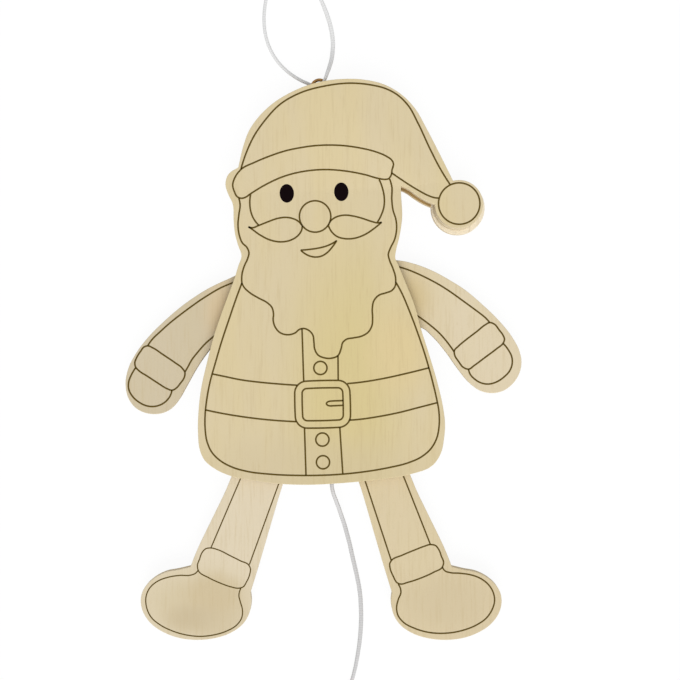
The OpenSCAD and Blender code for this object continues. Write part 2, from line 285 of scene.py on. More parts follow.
@dataclass(frozen=True)
class Photograph:
    """The photograph's frame: a lens straight above the figure, looking down."""

    side_px: float = 680.0
    lens_x: float = 7.84
    lens_y: float = 0.22
    lens_height: float = 382.0
    front_height: float = 12.0
    mm_per_px: float = 0.448

    def place(self, pixel: Pixel, height: float) -> Vector:
        """Find what a pixel shows at a height.

        Args:
            pixel: across and down from the picture's upper left corner.
            height: above the floor.

        Returns:
            The point in the part's frame.
        """
        scale = self.mm_per_px * (self.lens_height - height) / (self.lens_height - self.front_height)
        x = self.lens_x + (pixel[0] - self.side_px / 2) * scale
        y = self.lens_y + (self.side_px / 2 - pixel[1]) * scale
        return Vector((x, y, height))


PHOTOGRAPH = Photograph()


# Finishes


@dataclass(frozen=True)
class Patch:
    """A soft-edged area of another tone, with its middle on a pixel of the photograph: wood tone on most
    boards, painted shade on the arms and painted light round the pompom.
    """

    middle: Pixel
    half_width: float
    half_length: float
    tone: str
    share: float = 1.0
    height: float = PHOTOGRAPH.front_height
    core: float = 0.35


@dataclass(frozen=True)
class Marks:
    """Marks in a surface: noise whose cells have a size in millimetres along each axis."""

    sizes: Point
    detail: float
    roughness: float = 0.5

    def draw(self, tree: Tree) -> Socket:
        """Draw the marks on the piece's own coordinates.

        Args:
            tree: the material's tree.

        Returns:
            How strong the marks are, from 0 to 1.
        """
        coords = add(tree, "ShaderNodeTexCoord").outputs["Object"]
        scale = [1 / (size * MM) for size in self.sizes]
        drawn = add(tree, "ShaderNodeMapping", {"Vector": coords, "Scale": scale}).outputs[0]
        values = {"Vector": drawn, "Scale": 1.0, "Detail": self.detail, "Roughness": self.roughness}
        return add(tree, "ShaderNodeTexNoise", values).outputs["Fac"]


@dataclass(frozen=True)
class PlywoodFinish:
    """Bare sanded poplar plywood: a pale matte face with faint upright fibres and yellower stripes.

    The eye sees soft tone that runs with the grain, short darker fibres and hardly any gloss.
    """

    name: str
    face: str = "#D9C9A4"
    stripe: str = "#DBC998"
    fibre: str = "#C3AE82"
    patches: tuple[Patch, ...] = ()
    ragged: float = 0.5
    tones: Marks = Marks((16.0, 70.0, 16.0), 2.0, 0.6)
    # single fibres and pores are too fine for the render, so both are drawn in bundles
    fibres: Marks = Marks((0.9, 16.0, 0.9), 3.0, 0.6)
    pores: Marks = Marks((0.35, 3.0, 0.35), 1.0, 0.6)
    tone_limits: Limits = (0.35, 0.7)
    stripe_share: float = 0.5
    fibre_limits: Limits = (0.48, 0.75)
    pore_limits: Limits = (0.66, 0.8)
    fibre_share: float = 0.3
    bump: float = 0.25
    relief: float = 0.05
    sheen_limits: Limits = (0.3, 0.7)
    roughness: Limits = (0.58, 0.72)
    gloss: float = 0.3

    def build(self) -> Material:
        """Build the face's material.

        Returns:
            The material.
        """
        material, tree = new_material(self.name)
        tones = self.tones.draw(tree)
        fibres = self.fibres.draw(tree)
        pores = self.pores.draw(tree)
        face = linear(self.face)
        wood = lay_tone(tree, face, self.stripe, tones, self.tone_limits, self.stripe_share, soft=True)
        # patches: wood tone, but painted shade on the arms and painted light round the pompom
        for patch in self.patches:
            wood = self.lay_patch(tree, wood, tones, patch)
        for marks, limits in ((fibres, self.fibre_limits), (pores, self.pore_limits)):
            wood = lay_tone(tree, wood, self.fibre, marks, limits, self.fibre_share, soft=True)
        worn = {
            "Value": fibres,
            "From Min": self.sheen_limits[0],
            "From Max": self.sheen_limits[1],
            "To Min": self.roughness[0],
            "To Max": self.roughness[1],
        }
        rough = add(tree, "ShaderNodeMapRange", worn, interpolation_type="SMOOTHSTEP").outputs["Result"]
        height = add(tree, "ShaderNodeMath", {0: fibres, 1: pores}, operation="ADD").outputs[0]
        surface = {"Base Color": wood, "Roughness": rough, "Specular IOR Level": self.gloss}
        close_material(tree, surface, height, self.bump, self.relief)
        return material

    def lay_patch(self, tree: Tree, wood: Socket, tones: Socket, patch: Patch) -> Socket:
        """Lay a patch over the wood, with an edge that follows the grain.

        Args:
            tree: the material's tree.
            wood: the colour so far.
            tones: the marks that make the edge uneven.
            patch: what is laid.

        Returns:
            The colour with the patch.
        """
        near = {
            "Vector": add(tree, "ShaderNodeTexCoord").outputs["Object"],
            "Location": PHOTOGRAPH.place(patch.middle, patch.height) * MM,
            "Scale": (patch.half_width * MM, patch.half_length * MM, 1.0),
        }
        shrunk = add(tree, "ShaderNodeMapping", near, vector_type="TEXTURE").outputs[0]
        far = add(tree, "ShaderNodeVectorMath", {0: shrunk}, operation="LENGTH").outputs["Value"]
        uneven = {0: tones, 1: self.ragged, 2: far}
        edge = add(tree, "ShaderNodeMath", uneven, operation="MULTIPLY_ADD").outputs[0]
        reach = 1.0 + self.ragged / 2
        return lay_tone(tree, wood, patch.tone, edge, (reach, patch.core * reach), patch.share, soft=True)


@dataclass(frozen=True)
class PlyEdgeFinish:
    """The cut edge of three-ply: two pale outer plies, a browner crossways core and thin glue lines.

    The eye sees stripes along the cut and the open ends of the fibres.
    """

    name: str
    base: float
    thickness: float
    # the plies are real, but their colours are painted paler than the faces: painted light for the strong
    # light on the cut
    outer: str = "#E6D9BE"
    core: str = "#D6C29C"
    glue: str = "#BDA67C"
    core_share: float = 0.36
    glue_share: float = 0.035
    # bundles of fibre ends, since single ones are too fine for the render
    ends: Marks = Marks((0.5, 0.5, 0.25), 2.0)
    end_tones: Limits = (0.75, 1.15)
    bump: float = 0.4
    relief: float = 0.05
    roughness: float = 0.8
    gloss: float = 0.2

    def build(self) -> Material:
        """Build the edge's material.

        Returns:
            The material.
        """
        material, tree = new_material(self.name)
        coords = add(tree, "ShaderNodeTexCoord").outputs["Object"]
        height = add(tree, "ShaderNodeSeparateXYZ", {0: coords}).outputs["Z"]
        faces = {"Value": height, "From Min": self.base * MM, "From Max": (self.base + self.thickness) * MM}
        across = add(tree, "ShaderNodeMapRange", faces).outputs["Result"]
        ramp = add(tree, "ShaderNodeValToRGB", {"Fac": across})
        self.lay_plies(ramp.color_ramp)
        ends = self.ends.draw(tree)
        tones = {"Value": ends, "To Min": self.end_tones[0], "To Max": self.end_tones[1]}
        dark = add(tree, "ShaderNodeMapRange", tones).outputs["Result"]
        grey = add(tree, "ShaderNodeCombineColor", {i: dark for i in range(3)}).outputs[0]
        mix = {0: 1.0, 6: ramp.outputs["Color"], 7: grey}
        colour = add(tree, "ShaderNodeMix", mix, data_type="RGBA", blend_type="MULTIPLY").outputs[2]
        surface = {"Base Color": colour, "Roughness": self.roughness, "Specular IOR Level": self.gloss}
        close_material(tree, surface, ends, self.bump, self.relief)
        return material

    def lay_plies(self, ramp: bpy.types.ColorRamp) -> None:
        """Set the stripes from the lower face to the upper one.

        Args:
            ramp: the ramp across the thickness.
        """
        ramp.interpolation = "CONSTANT"
        low = 0.5 - self.core_share / 2
        high = 0.5 + self.core_share / 2
        ramp.elements[0].color = linear(self.outer)
        ramp.elements.remove(ramp.elements[1])
        for at, colour in (
            (low, self.glue),
            (low + self.glue_share, self.core),
            (high - self.glue_share, self.glue),
            (high, self.outer),
        ):
            ramp.elements.new(at).color = linear(colour)


@dataclass(frozen=True)
class MottledFinish:
    """A matte solid with two tones of grain: turned beech, pressed fibre or printing ink.

    The eye sees small flecks of the second tone on the first, drawn out as far as the sizes say.
    """

    name: str
    ground: str
    fleck: str
    fleck_width: float
    fleck_length: float
    fleck_share: float
    roughness: float
    relief: float = 0.0
    gloss: float = 0.3
    fleck_limits: Limits = (0.4, 0.7)
    detail: float = 3.0
    detail_strength: float = 0.65
    bump: float = 0.4

    def build(self) -> Material:
        """Build the material.

        Returns:
            The material.
        """
        material, tree = new_material(self.name)
        sizes = (self.fleck_width, self.fleck_width, self.fleck_length)
        flecks = Marks(sizes, self.detail, self.detail_strength).draw(tree)
        ground = linear(self.ground)
        colour = lay_tone(tree, ground, self.fleck, flecks, self.fleck_limits, self.fleck_share)
        surface = {"Base Color": colour, "Roughness": self.roughness, "Specular IOR Level": self.gloss}
        close_material(tree, surface, flecks, self.bump, self.relief)
        return material


@dataclass(frozen=True)
class BraidFinish:
    """Braided cotton: soft and matte, with painted shade in darker lines where the plaits sink."""

    name: str
    crest: str
    # the darker colour is painted shade in the sinks between the plaits
    dip_shade: str
    plait_limits: Limits = (-1.0, 0.4)
    yarn: Marks = Marks((0.16, 0.16, 0.16), 2.0)
    bump: float = 0.5
    relief: float = 0.05
    roughness: float = 0.85
    gloss: float = 0.2
    fuzz: float = 0.15
    fuzz_roughness: float = 0.5

    def build(self) -> Material:
        """Build the cord's material, which reads the braid's own height from its mesh.

        Returns:
            The material.
        """
        material, tree = new_material(self.name)
        plait = add(tree, "ShaderNodeAttribute", attribute_name="plait").outputs["Fac"]
        surface = {
            "Base Color": lay_tone(tree, linear(self.dip_shade), self.crest, plait, self.plait_limits, 1.0),
            "Roughness": self.roughness,
            "Specular IOR Level": self.gloss,
            "Sheen Weight": self.fuzz,
            "Sheen Roughness": self.fuzz_roughness,
        }
        close_material(tree, surface, self.yarn.draw(tree), self.bump, self.relief)
        return material


@dataclass(frozen=True)
class BrassFinish:
    """Brass-plated steel wire: bright yellow metal with small dull patches."""

    name: str
    bright: str = "#B58A54"
    dull: str = "#6B5232"
    wear: Marks = Marks((1.2, 1.2, 1.2), 3.0)
    roughness: Limits = (0.3, 0.5)

    def build(self) -> Material:
        """Build the metal's material.

        Returns:
            The material.
        """
        material, tree = new_material(self.name)
        wear = self.wear.draw(tree)
        worn = {"Value": wear, "To Min": self.roughness[0], "To Max": self.roughness[1]}
        surface = {
            "Base Color": lay_tone(tree, linear(self.bright), self.dull, wear, (0.0, 1.0), 1.0),
            "Roughness": add(tree, "ShaderNodeMapRange", worn).outputs["Result"],
            "Metallic": 1.0,
        }
        shader = add(tree, "ShaderNodeBsdfPrincipled", surface).outputs[0]
        add(tree, "ShaderNodeOutputMaterial", {"Surface": shader})
        return material


# Node trees that sweep a line


@dataclass
class SweepTree:
    """A geometry tree with named inputs, for pieces that follow a line of edges."""

    name: str

    def __post_init__(self) -> None:
        """Make the empty tree with its geometry sockets."""
        self.tree = bpy.data.node_groups.new(self.name, "GeometryNodeTree")
        self.inputs: dict[str, str] = {}
        geometry = "NodeSocketGeometry"
        self.tree.interface.new_socket("Line", in_out="INPUT", socket_type=geometry)
        self.tree.interface.new_socket("Piece", in_out="OUTPUT", socket_type=geometry)

    def takes(self, *names: str, kind: str = "NodeSocketFloat") -> None:
        """Declare named inputs and keep their identifiers.

        Args:
            *names: the inputs' names.
            kind: their socket type.
        """
        for name in names:
            socket = self.tree.interface.new_socket(name, in_out="INPUT", socket_type=kind)
            self.inputs[name] = socket.identifier

    def close(self, geometry: Socket, material: Socket) -> None:
        """End the tree in realized instances with their material.

        Args:
            geometry: what the tree has made.
            material: the group's material input.
        """
        solid = add(self.tree, "GeometryNodeRealizeInstances", {0: geometry}).outputs[0]
        dressed = add(self.tree, "GeometryNodeSetMaterial", {"Geometry": solid, "Material": material})
        add(self.tree, "NodeGroupOutput", {0: dressed.outputs[0]})

    def sweep(self, name: str, lines: Sequence[tuple[list[Vector], bool]], values: dict) -> Piece:
        """Run the tree on lines and keep the result as a plain mesh.

        Args:
            name: the piece's name.
            lines: points in millimetres, each line with whether it closes.
            values: the tree's inputs by name.

        Returns:
            The finished object.
        """
        points: list[Vector] = []
        edges: list[tuple[int, int]] = []
        for line, closed in lines:
            first, count = len(points), len(line)
            points.extend(p * MM for p in line)
            edges.extend((first + i, first + i + 1) for i in range(count - 1))
            if closed:
                edges.append((first + count - 1, first))
        wire = bpy.data.meshes.new(name + "_line")
        wire.from_pydata(points, edges, [])
        piece = object_from(name, wire)
        modifier = piece.modifiers.new("sweep", "NODES")
        modifier.node_group = self.tree
        for key, value in values.items():
            modifier[self.inputs[key]] = value
        graph = bpy.context.evaluated_depsgraph_get()
        solid = bpy.data.meshes.new_from_object(piece.evaluated_get(graph), depsgraph=graph)
        piece.modifiers.remove(modifier)
        piece.data = solid
        solid.name = name
        bpy.data.meshes.remove(wire)
        return piece


def ribbon_tree() -> SweepTree:
    """Build the tree that lays a flat ribbon along a line, for printed ink.

    Returns:
        A tree with the inputs Width, Height and Material.
    """
    sweep = SweepTree("ink_ribbon")
    sweep.takes("Width", "Height")
    sweep.takes("Material", kind="NodeSocketMaterial")
    tree = sweep.tree
    given = add(tree, "NodeGroupInput").outputs
    line = add(tree, "GeometryNodeMeshToCurve", {"Mesh": given["Line"]})
    upright = add(tree, "GeometryNodeSetCurveNormal", {"Curve": line.outputs[0]}, mode="Z_UP")
    section = {"Width": given["Width"], "Height": given["Height"]}
    profile = add(tree, "GeometryNodeCurvePrimitiveQuadrilateral", section)
    swept = {"Curve": upright.outputs[0], "Profile Curve": profile.outputs[0], "Fill Caps": True}
    sweep.close(add(tree, "GeometryNodeCurveToMesh", swept).outputs[0], given["Material"])
    return sweep


def braid_tree() -> SweepTree:
    """Build the tree that braids a cord along a line.

    The section is an oval that starts at its lean and turns slowly, and two crossing sets of plaits
    raise its surface.

    Returns:
        A tree with the inputs Width, Thickness, Lean, Turn, Plait, Relief, Step and Material.
    """
    sides = 24
    plaits_round = 3
    sweep = SweepTree("braided_cord")
    sweep.takes("Width", "Thickness", "Lean", "Turn", "Plait", "Relief", "Step")
    sweep.takes("Material", kind="NodeSocketMaterial")
    tree = sweep.tree
    given = add(tree, "NodeGroupInput").outputs
    where = add(tree, "GeometryNodeSplineParameter").outputs

    # the line, which turns the section along its length
    line = add(tree, "GeometryNodeMeshToCurve", {"Mesh": given["Line"]}).outputs[0]
    even = add(tree, "GeometryNodeResampleCurve", {"Curve": line, "Length": given["Step"]}, mode="LENGTH")
    upright = add(tree, "GeometryNodeSetCurveNormal", {"Curve": even.outputs[0]}, mode="Z_UP")
    turns = add(tree, "ShaderNodeMath", {0: where["Length"], 1: given["Turn"]}, operation="DIVIDE")
    lean = {0: turns.outputs[0], 1: math.tau, 2: given["Lean"]}
    tilt = add(tree, "ShaderNodeMath", lean, operation="MULTIPLY_ADD").outputs[0]
    turned = add(tree, "GeometryNodeSetCurveTilt", {"Curve": upright.outputs[0], "Tilt": tilt})

    # the oval section
    ring = add(tree, "GeometryNodeCurvePrimitiveCircle", {"Resolution": sides, "Radius": 0.5}, mode="RADIUS")
    size = add(tree, "ShaderNodeCombineXYZ", {0: given["Width"], 1: given["Thickness"], 2: 1.0})
    oval = add(tree, "GeometryNodeTransform", {"Geometry": ring.outputs[0], "Scale": size.outputs[0]})

    # the tube, whose points keep their place along the line and around the section
    curves: list[Socket] = []
    places: list[Socket] = []
    for name, curve, value in (("along", turned, where["Length"]), ("around", oval, where["Factor"])):
        kept = add(tree, "GeometryNodeCaptureAttribute", domain="POINT")
        kept.capture_items.new("FLOAT", name)
        tree.links.new(curve.outputs[0], kept.inputs["Geometry"])
        tree.links.new(value, kept.inputs[name])
        curves.append(kept.outputs["Geometry"])
        places.append(kept.outputs[name])
    along, around = places
    swept = {"Curve": curves[0], "Profile Curve": curves[1], "Fill Caps": True}
    tube = add(tree, "GeometryNodeCurveToMesh", swept).outputs[0]

    # two crossing sets of plaits, which raise the surface
    round_turn = {0: around, 1: math.tau * plaits_round}
    start = add(tree, "ShaderNodeMath", round_turn, operation="MULTIPLY").outputs[0]
    count = add(tree, "ShaderNodeMath", {0: along, 1: given["Plait"]}, operation="DIVIDE").outputs[0]
    lays: list[Socket] = []
    for turn in (math.tau, -math.tau):
        phase = add(tree, "ShaderNodeMath", {0: count, 1: turn, 2: start}, operation="MULTIPLY_ADD")
        lays.append(add(tree, "ShaderNodeMath", {0: phase.outputs[0]}, operation="SINE").outputs[0])
    plait = add(tree, "ShaderNodeMath", {0: lays[0], 1: lays[1]}, operation="MULTIPLY").outputs[0]
    note = {"Geometry": tube, "Name": "plait", "Value": plait}
    noted = add(tree, "GeometryNodeStoreNamedAttribute", note, data_type="FLOAT", domain="POINT")
    normal = add(tree, "GeometryNodeInputNormal").outputs[0]
    raised = add(tree, "ShaderNodeMath", {0: plait, 1: given["Relief"]}, operation="MULTIPLY").outputs[0]
    offset = add(tree, "ShaderNodeVectorMath", {0: normal, "Scale": raised}, operation="SCALE")
    lift = {"Geometry": noted.outputs[0], "Offset": offset.outputs[0]}
    shaped = add(tree, "GeometryNodeSetPosition", lift)
    smooth = add(tree, "GeometryNodeSetShadeSmooth", {"Geometry": shaped.outputs[0]})
    sweep.close(smooth.outputs[0], given["Material"])
    return sweep


# The printed drawing


@dataclass(frozen=True)
class Stroke:
    """One printed line, through pixels of the photograph that were read off."""

    pixels: tuple[Pixel, ...]
    flow: Flow = Flow.OPEN


def circle(middle: Pixel, radius: float) -> Stroke:
    """Draw a printed circle.

    Args:
        middle: its middle, in pixels.
        radius: in pixels.

    Returns:
        A closed stroke.
    """
    count = 12
    turns = [math.tau * i / count for i in range(count)]
    ring = ((middle[0] + radius * math.cos(a), middle[1] + radius * math.sin(a)) for a in turns)
    return Stroke(tuple(ring), Flow.CLOSED)


def rounded_frame(middle: Pixel, half_size: Pixel, corner: float, tilt: float) -> Stroke:
    """Draw a printed rectangle with round corners.

    Args:
        middle: its middle, in pixels.
        half_size: half its width and half its height, in pixels.
        corner: the corners' radius, in pixels.
        tilt: how far it leans to the left, in degrees.

    Returns:
        A closed stroke of corner arcs and straight sides.
    """
    arc_steps = 24
    lean = math.radians(tilt)
    pixels: list[Pixel] = []
    for quarter in range(4):
        side_x = 1 if quarter in (0, 3) else -1
        side_y = 1 if quarter in (0, 1) else -1
        for k in range(arc_steps + 1):
            a = math.tau / 4 * (quarter + k / arc_steps)
            x = side_x * (half_size[0] - corner) + corner * math.cos(a)
            y = side_y * (half_size[1] - corner) + corner * math.sin(a)
            turned_x = x * math.cos(lean) + y * math.sin(lean)
            turned_y = y * math.cos(lean) - x * math.sin(lean)
            pixels.append((middle[0] + turned_x, middle[1] + turned_y))
    return Stroke(tuple(pixels), Flow.CLOSED)


CAP_STROKES = (
    # dome, from the brim over to the pompom
    Stroke((
        (241, 169), (246, 153.5), (255, 134.4), (265, 120.3), (280, 104.4), (300, 93), (325, 86),
        (350, 83.2), (370, 84.8), (385, 88.4), (397, 94.6), (408, 105.3), (418, 123.2), (430, 148.9),
        (440, 168.3), (450, 184.4),
    )),
    # underside of the tail
    Stroke((
        (391.8, 173), (400, 178.7), (410, 185.3), (420, 191.3), (430, 196.3), (434.5, 197.7), (438.5, 198.1),
    )),
    # brim
    Stroke((
        (232.7, 185), (234.5, 178.5), (241, 169.5), (255, 162.2), (270, 156), (285, 151), (300, 147.8),
        (315, 145.7), (330, 145.1), (345, 145.8), (360, 148), (375, 151.6), (386, 156.1), (391.6, 160),
        (393.4, 163.5), (392, 170), (391.2, 175), (388.8, 178.6), (384.5, 179.4), (380, 178.8), (365, 174.7),
        (345, 171), (325, 169.6), (305, 171.2), (285, 176), (265, 185), (250, 194.2), (245.5, 197.3),
        (241, 198.3), (237.6, 197), (234.3, 191.5),
    ), Flow.CLOSED),
    circle((459.2, 203.6), 20.7),
)

HEAD_STROKES = (
    # cheeks
    Stroke(((250.6, 194.4), (249.8, 203), (250.8, 211.5), (253.8, 219), (258.7, 225.2))),
    Stroke(((379.2, 179.5), (382.4, 188), (384.3, 198), (383.9, 207), (381.3, 215), (377.3, 222.4))),
    # nose
    circle((315.1, 216.5), 15.7),
    # moustache, each side an upper and a lower line
    Stroke((
        (248.3, 226.8), (252, 227.8), (258.7, 225.5), (268, 221.8), (277.8, 218.4), (285.5, 217.4),
        (292.2, 218.4), (298, 221.1), (302.2, 225.9),
    )),
    Stroke((
        (302.2, 225.9), (301.6, 230.2), (298, 235.6), (290.6, 240.2), (281, 241.9), (271, 240.3),
        (260, 235), (250.8, 228.4), (248.3, 226.8),
    )),
    Stroke((
        (328.4, 225.6), (331, 220.6), (335, 217.6), (340, 215.8), (346, 215.2), (353.3, 216.1),
        (362, 218.3), (372, 221.6), (378, 222.9), (381.7, 222.2),
    )),
    Stroke((
        (381.7, 222.2), (374.4, 228.3), (364, 235), (354, 238.4), (345, 238.7), (337, 236.5),
        (331.5, 231.6), (328.4, 225.6),
    )),
    # mouth
    Stroke(((300.7, 250.2), (309, 249.5), (318, 248.2), (326, 246.2), (332, 243.6), (336.8, 240.6))),
    Stroke((
        (336.8, 240.6), (332.2, 247.2), (327.5, 252.4), (322, 255.9), (315.6, 257.1), (309, 255.8),
        (304.4, 253.3), (300.7, 250.2),
    )),
    # sides of the beard
    Stroke((
        (238.8, 198.2), (240.1, 205), (239, 214), (238, 225), (239.4, 235.6), (242.4, 243), (246.8, 247.3),
        (248.9, 252.5), (247.6, 258.8), (244.4, 265.8), (242, 274.5), (241.9, 283),
    )),
    Stroke((
        (389.6, 179), (391.7, 186), (391.8, 200), (393, 210), (396, 220), (396.6, 229), (394.6, 239.5),
        (390.2, 248.6), (388.3, 254.5), (389.6, 260.4), (393, 268.6), (395.6, 278), (395.7, 282),
    )),
    # wavy end of the beard
    Stroke((
        (241.9, 283), (244, 287.2), (249.5, 292.5), (259, 298.3), (267, 302.6), (272, 307.6), (273.5, 313.8),
        (273.2, 320.5), (275.4, 327.5), (280.3, 332.8), (288, 334.8), (295, 333), (299.5, 329.4),
        (303.5, 328.5), (309, 330.6), (312.8, 335), (313.9, 342), (314.8, 349.4), (318, 355), (324, 357.8),
        (331, 358.3), (338, 355.6), (341, 349), (343, 342.2), (346.5, 339.3), (353, 338), (361.5, 336.2),
        (368, 332.4), (372, 325.4), (372.6, 318), (372.3, 308.8), (374, 300.6), (379, 295.2), (386, 292.9),
        (392, 290.4), (395, 286.5), (395.7, 281.5),
    )),
)

COAT_STROKES = (
    # sides and hem
    Stroke((
        (241.9, 283), (236.3, 298.1), (228.8, 320), (221.8, 341), (215.2, 363.5), (210.3, 381), (207, 398),
        (205.3, 412), (205.1, 428), (207, 441.5), (211.5, 451.8), (220, 460.5), (232, 467.1), (248, 471.6),
        (270, 474.2), (306, 475.5), (335, 474.7), (365, 471.7), (390, 467.4), (408.3, 462.8), (421.7, 456.7),
        (430.8, 448.8), (436.7, 438.3), (439.1, 426), (439, 412.5), (436, 396), (431.7, 378.3),
        (425.6, 356.7), (417.8, 333.3), (409, 310), (401.5, 292.5), (395.7, 282),
    )),
    # belt
    Stroke(((212.5, 374), (225, 376.6), (240, 379.7), (260, 382.3), (280, 384.1), (297.3, 385.3))),
    Stroke(((347.4, 383.6), (358, 382.6), (372, 380.6), (390, 377.2), (410, 372.6), (429.2, 367.8))),
    Stroke(((205.6, 410), (222, 413.4), (240, 416.4), (260, 419), (280, 420.8), (296.3, 421.7))),
    Stroke(((349.6, 420.2), (362, 419.1), (378, 416.7), (398, 412.8), (418, 407.7), (437.3, 402.7))),
    # buckle and its prong
    rounded_frame((322.6, 404.3), (27.6, 23.5), 12, 1.4),
    rounded_frame((322.7, 404.3), (20.3, 16.1), 4.8, 1.4),
    Stroke((
        (343.2, 400.6), (338, 400.8), (333, 401), (329.6, 401.3), (327.3, 402.2), (326.4, 403.7),
        (327.3, 405.1), (329.7, 405.9), (333, 405.8), (338, 405.6), (343.4, 405.3),
    )),
    # placket
    Stroke(((302, 328.7), (303.7, 381.2)), Flow.STRAIGHT),
    Stroke(((338, 355.7), (338.2, 379.8)), Flow.STRAIGHT),
    Stroke(((304.5, 428.3), (306, 475.5)), Flow.STRAIGHT),
    Stroke(((339.8, 427.4), (342.8, 474)), Flow.STRAIGHT),
    # buttons
    circle((320.4, 368), 6.6),
    circle((322.4, 439.6), 6.6),
    circle((323, 462.3), 6.6),
)

LEFT_ARM_STROKES = (
    # sleeve, running on under the coat
    Stroke((
        (243, 278.5), (231, 283.4), (220, 288.2), (210, 294), (200, 300.4), (190, 307.5), (180, 315),
        (170, 322.9), (160, 331.9), (152.4, 339.2), (147.8, 345.6),
    )),
    Stroke((
        (230, 325), (221, 331), (213.1, 336.9), (205, 344), (197.6, 352.4), (191.3, 360.6), (188.1, 366.6),
        (185, 372),
    )),
    # cuff
    Stroke((
        (147.8, 345.9), (153, 348), (163, 354.6), (175, 362.7), (182, 368), (184.9, 372.6), (184.4, 377),
        (180, 383.8), (176, 388.4), (172, 390.3), (167.5, 388.9), (158, 383.2), (147, 376), (139, 370.8),
        (135.6, 367), (134.8, 363), (136.6, 357.8), (141, 350.8), (144, 347),
    ), Flow.CLOSED),
    # mitten
    Stroke((
        (135.8, 367.6), (131.6, 374.4), (128.7, 382), (128.7, 389), (132.2, 396), (139, 402.2),
        (146.5, 405.8), (154, 406.5), (161, 404.6), (167, 400.3), (170.6, 395), (171.9, 390.4),
    )),
)

RIGHT_ARM_STROKES = (
    # sleeve, running on under the coat
    Stroke((
        (386, 263.6), (399.5, 267), (410.5, 270.7), (420, 274.8), (430, 279.7), (440, 285.2), (450, 291.6),
        (460, 298.7), (470, 306), (480, 313.4), (485, 317.4), (489.6, 322.4),
    )),
    Stroke((
        (402, 306.5), (409.5, 310.5), (417, 315.5), (423, 319.7), (430, 325), (440, 333.8), (448, 343.2),
        (454, 351.6),
    )),
    # cuff
    Stroke((
        (490, 322.6), (494.5, 324.3), (499, 329.8), (503, 335.2), (504.5, 339.4), (503, 343.4), (497, 348.5),
        (485, 357.5), (474, 365.7), (468.6, 369.2), (463.8, 367.7), (458.5, 361.4), (454.6, 354.8),
        (454.4, 350.6), (458, 346.6), (466, 339.8), (477, 331.4), (485, 325),
    ), Flow.CLOSED),
    # mitten
    Stroke((
        (503.2, 343.5), (508.4, 350), (511.8, 357), (512.2, 363.5), (509.6, 371), (504, 377), (496, 382.2),
        (488, 384.1), (480.5, 382.7), (474.3, 378.8), (470.2, 374.3), (468.6, 369.4),
    )),
)

LEFT_LEG_STROKES = (
    # trouser leg, running on under the coat
    Stroke(((253.4, 448.5), (211, 547.7)), Flow.STRAIGHT),
    Stroke(((289.9, 453), (249.4, 564.6)), Flow.STRAIGHT),
    # cuff
    Stroke((
        (210.8, 548), (218, 549.8), (230, 555.6), (241, 561.1), (248.3, 564.6), (250.4, 568.5), (249.8, 574),
        (246.5, 582), (243, 587), (239, 588.2), (231, 586.9), (220, 583), (209, 577.9), (198.2, 570.3),
        (197.4, 566), (199.6, 559), (202.2, 552.4), (205.5, 548.9),
    ), Flow.CLOSED),
    # boot
    Stroke((
        (198, 570.4), (195.4, 573.4), (190.5, 575.2), (180, 575.4), (168, 577.3), (157, 581.6),
        (149.6, 588.2), (146, 597), (146.6, 607.4), (151.6, 617.8), (160, 624.8), (172, 630.8), (186, 634.9),
        (200, 636.4), (214, 634.9), (227, 630.9), (236.5, 625.2), (241.6, 618), (242.5, 610.4), (240.4, 602),
        (238.9, 595.6), (240.9, 588.3),
    )),
)

RIGHT_LEG_STROKES = (
    # trouser leg, running on under the coat
    Stroke(((355, 449.9), (391.2, 560.3)), Flow.STRAIGHT),
    Stroke(((391.2, 445), (430.3, 544.2)), Flow.STRAIGHT),
    # cuff
    Stroke((
        (430.4, 544.6), (435.5, 545.6), (438.8, 549.6), (441.4, 556.4), (443.6, 562.4), (442.4, 567),
        (434, 572.1), (420, 578.4), (408, 582.3), (400, 584), (397.2, 582.8), (393.4, 576.6), (390, 567.6),
        (389.8, 563.4), (391.6, 560.4), (402, 555.3), (415, 549.9), (424, 546.4),
    ), Flow.CLOSED),
    # boot
    Stroke((
        (442.5, 567.2), (445, 570.9), (450, 572.6), (460, 573.3), (470, 574.7), (480, 578.2), (488.4, 584.6),
        (493.4, 593), (494.6, 600.4), (492.4, 609), (486.6, 617.8), (477, 624.7), (464, 630), (446, 633.2),
        (430, 632.6), (415, 628.5), (403.6, 622.4), (398, 615.4), (396.6, 607.4), (398.4, 599.2),
        (400.9, 592.4), (398.2, 584.2),
    )),
)


@dataclass(frozen=True)
class Drawing:
    """The ink on one board: thin dark lines."""

    name: str
    body: Body
    node: str
    strokes: tuple[Stroke, ...]
    line_width: float = 0.75
    ink_height: float = 0.03
    step: float = 0.6

    def face_height(self) -> float:
        """Give the height of the printed face."""
        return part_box(self.node)[1].z / MM

    def print_lines(self, ribbon: SweepTree, ink: Material) -> Piece:
        """Lay the lines on the board.

        Args:
            ribbon: the tree that makes the ribbons.
            ink: their material.

        Returns:
            The printed piece.
        """
        top = self.face_height()
        lines = []
        for stroke in self.strokes:
            places = [PHOTOGRAPH.place(pixel, top) for pixel in stroke.pixels]
            lines.append((flowing(places, stroke.flow, self.step), stroke.flow is Flow.CLOSED))
        values = {"Width": self.line_width * MM, "Height": 2 * self.ink_height * MM, "Material": ink}
        piece = ribbon.sweep(self.name, lines, values)
        return settle(piece, self.body)


def limb_print(limb: Body, strokes: tuple[Stroke, ...], **sizes: float) -> Drawing:
    """Describe the ink on a limb, whose node has its body's name."""
    return Drawing(limb.value + "_print", limb, limb.value, strokes, **sizes)


DRAWINGS = (
    Drawing("figure_print", Body.FIGURE, "front_plate", CAP_STROKES + HEAD_STROKES + COAT_STROKES),
    limb_print(Body.LEFT_ARM, LEFT_ARM_STROKES),
    limb_print(Body.RIGHT_ARM, RIGHT_ARM_STROKES),
    # the press left less ink on the legs
    limb_print(Body.LEFT_LEG, LEFT_LEG_STROKES, line_width=0.56),
    limb_print(Body.RIGHT_LEG, RIGHT_LEG_STROKES, line_width=0.68),
)


